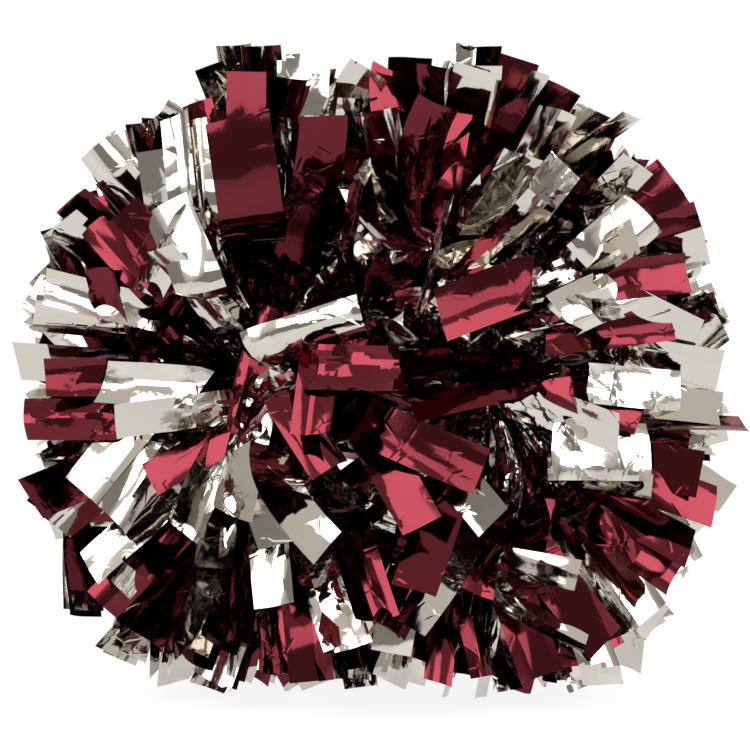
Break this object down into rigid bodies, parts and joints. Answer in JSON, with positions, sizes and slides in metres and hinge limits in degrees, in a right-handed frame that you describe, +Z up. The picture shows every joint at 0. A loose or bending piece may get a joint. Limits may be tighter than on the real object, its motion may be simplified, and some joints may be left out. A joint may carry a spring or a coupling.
{
  "type": "cheer pom pom",
  "caption": "Round metallic pom pom in maroon and silver: a straight hand grip hidden between dense rosettes of slit foil film strands.",
  "frame": {"origin": "on the surface that the pom pom rests on, under the middle of the grip", "axes": "+X along the grip towards the right rosette, +Z up, -Y towards a viewer who faces the pom pom"},
  "size_m": [0.3442, 0.3204, 0.3062],
  "materials": {
    "maroon_film": "gloss",
    "silver_film": "gloss",
    "grip_plastic": "satin",
    "washer": "satin",
    "cord": "matte"
  },
  "bodies": {
    "handle": {"grip_tube": "grip_plastic", "left_end_flange": "grip_plastic", "right_end_flange": "grip_plastic", "tension_cord": "cord"},
    "left_rosette": {"left_retaining_washer": "washer", "left_maroon_film_1": "maroon_film", "left_silver_film_1": "silver_film", "left_maroon_film_2": "maroon_film", "left_silver_film_2": "silver_film", "left_maroon_film_3": "maroon_film", "left_silver_film_3": "silver_film", "left_maroon_film_4": "maroon_film", "left_silver_film_4": "silver_film", "left_maroon_film_5": "maroon_film", "left_silver_film_5": "silver_film", "left_maroon_film_6": "maroon_film", "left_silver_film_6": "silver_film", "left_maroon_film_7": "maroon_film", "left_silver_film_7": "silver_film", "left_maroon_film_8": "maroon_film", "left_silver_film_8": "silver_film"},
    "right_rosette": {"right_retaining_washer": "washer", "right_maroon_film_1": "maroon_film", "right_silver_film_1": "silver_film", "right_maroon_film_2": "maroon_film", "right_silver_film_2": "silver_film", "right_maroon_film_3": "maroon_film", "right_silver_film_3": "silver_film", "right_maroon_film_4": "maroon_film", "right_silver_film_4": "silver_film", "right_maroon_film_5": "maroon_film", "right_silver_film_5": "silver_film", "right_maroon_film_6": "maroon_film", "right_silver_film_6": "silver_film", "right_maroon_film_7": "maroon_film", "right_silver_film_7": "silver_film", "right_maroon_film_8": "maroon_film", "right_silver_film_8": "silver_film"}
  },
  "joints": [
    {"name": "left_rosette_swivel", "type": "hinge", "parent": "handle", "child": "left_rosette", "pos_m": [-0.0556, 0, 0.146], "axis": [1, 0, 0], "range_deg": [-90, 90]},
    {"name": "right_rosette_swivel", "type": "hinge", "parent": "handle", "child": "right_rosette", "pos_m": [0.0556, 0, 0.146], "axis": [1, 0, 0], "range_deg": [-90, 90]}
  ]
}
